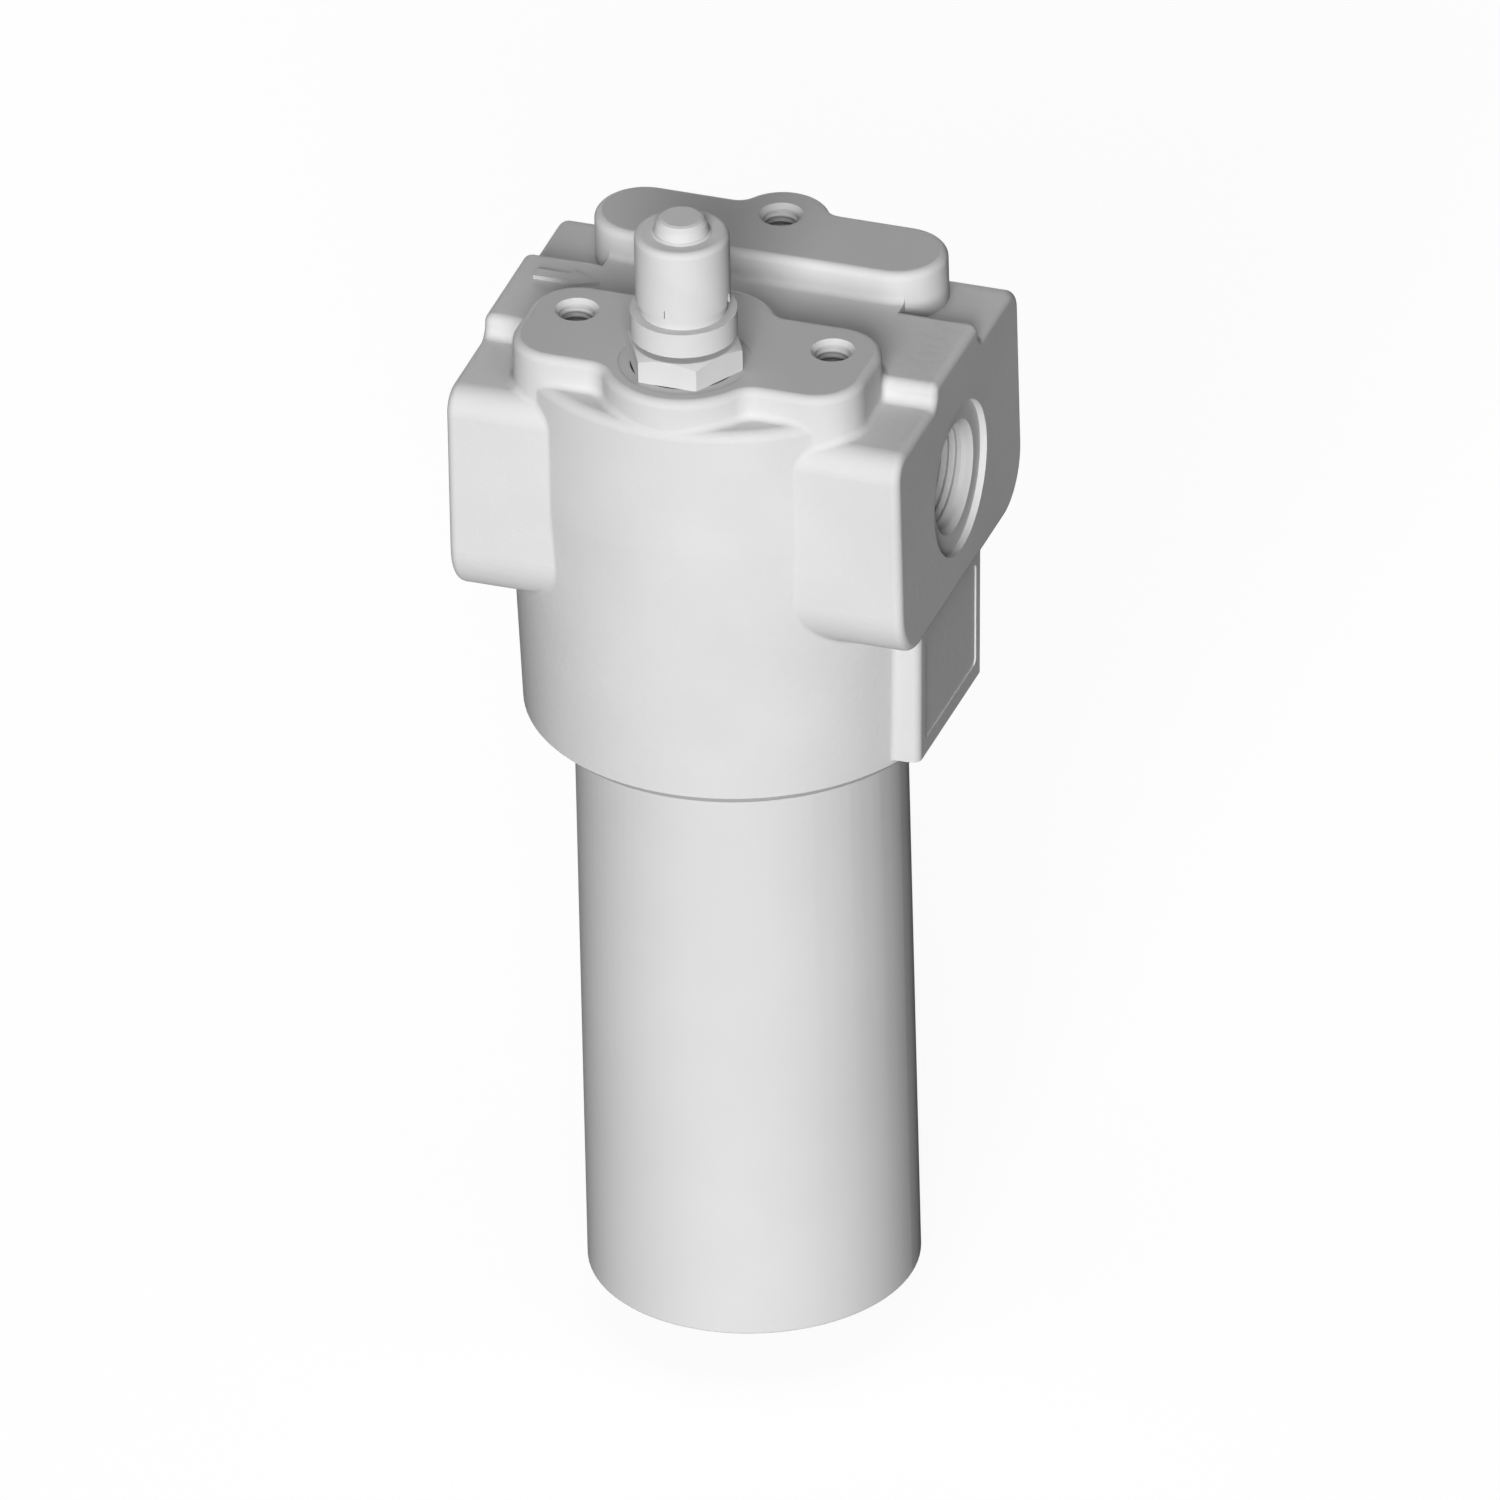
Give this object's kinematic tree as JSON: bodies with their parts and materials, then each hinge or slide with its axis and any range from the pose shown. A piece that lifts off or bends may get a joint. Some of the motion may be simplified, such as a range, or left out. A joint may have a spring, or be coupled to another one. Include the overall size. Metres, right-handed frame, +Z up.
{
  "type": "hydraulic pressure filter",
  "caption": "Inline hydraulic pressure filter with cast head, threaded side ports, screw-in bowl, pleated element and pop-up clogging indicator.",
  "frame": {"origin": "centre of the bowl's flat underside, on the bowl's axis", "axes": "+Z up along the bowl's axis towards the mounting face, +X the way the oil flows out of the outlet port, -Y towards the indicator side"},
  "size_m": [0.135, 0.128, 0.3617],
  "materials": {
    "cast_head": "light grey paint over a fine cast skin, machined faces brighter",
    "bowl_steel": "light grey, faint turning marks",
    "indicator_metal": "turned and lightly brushed",
    "button_plastic": "moulded, satin",
    "seal_rubber": "black nitrile",
    "backup_plastic": "white fluoropolymer",
    "element_media": "pleated glass-fibre sheet",
    "element_metal": "zinc-plated sheet",
    "spring_steel": "spring steel",
    "magnet": "nickel-plated magnet"
  },
  "bodies": {
    "head": {"filter_head": "cast_head", "element_top_cap": "element_metal", "element_bottom_cap": "element_metal", "element_core_tube": "element_metal", "element_pleats": "element_media", "element_o_ring": "seal_rubber", "bypass_cage": "element_metal", "bypass_spring": "spring_steel", "indicator_body": "indicator_metal", "indicator_collar": "indicator_metal", "indicator_cap": "indicator_metal", "button_spring": "spring_steel", "indicator_spring": "spring_steel", "indicator_seal_ring": "seal_rubber", "indicator_nose_o_ring": "seal_rubber"},
    "bowl_seals": {"bowl_o_ring": "seal_rubber", "bowl_backup_ring": "backup_plastic"},
    "bowl": {"bowl": "bowl_steel"},
    "button": {"indicator_button": "button_plastic", "button_magnet": "magnet"},
    "piston": {"indicator_piston": "indicator_metal", "indicator_magnet": "magnet"},
    "poppet": {"bypass_poppet": "element_metal"}
  },
  "joints": [
    {"name": "bowl_travel", "type": "slide", "parent": "head", "child": "bowl_seals", "axis": [0, 0, -1], "range_m": [0, 0.0182]},
    {"name": "bowl_turn", "type": "hinge", "parent": "bowl_seals", "child": "bowl", "pos_m": [0, 0, 0], "axis": [0, 0, -1], "range_deg": [0, 3240]},
    {"name": "button_rise", "type": "slide", "parent": "head", "child": "button", "axis": [0, 0, 1], "range_m": [0, 0.004], "deforming": ["button_spring"]},
    {"name": "piston_stroke", "type": "slide", "parent": "head", "child": "piston", "axis": [0, 0, 1], "range_m": [0, 0.0025], "stiffness_N_per_m": 1500, "springref_m": -0.004, "deforming": ["indicator_spring"]},
    {"name": "bypass_lift", "type": "slide", "parent": "head", "child": "poppet", "axis": [0, 0, 1], "range_m": [0, 0.005], "stiffness_N_per_m": 2000, "springref_m": -0.01, "deforming": ["bypass_spring"]}
  ],
  "couplings": [
    {"joint": "bowl_travel", "follows": "bowl_turn", "m_per_rad": 0.00031831}
  ]
}
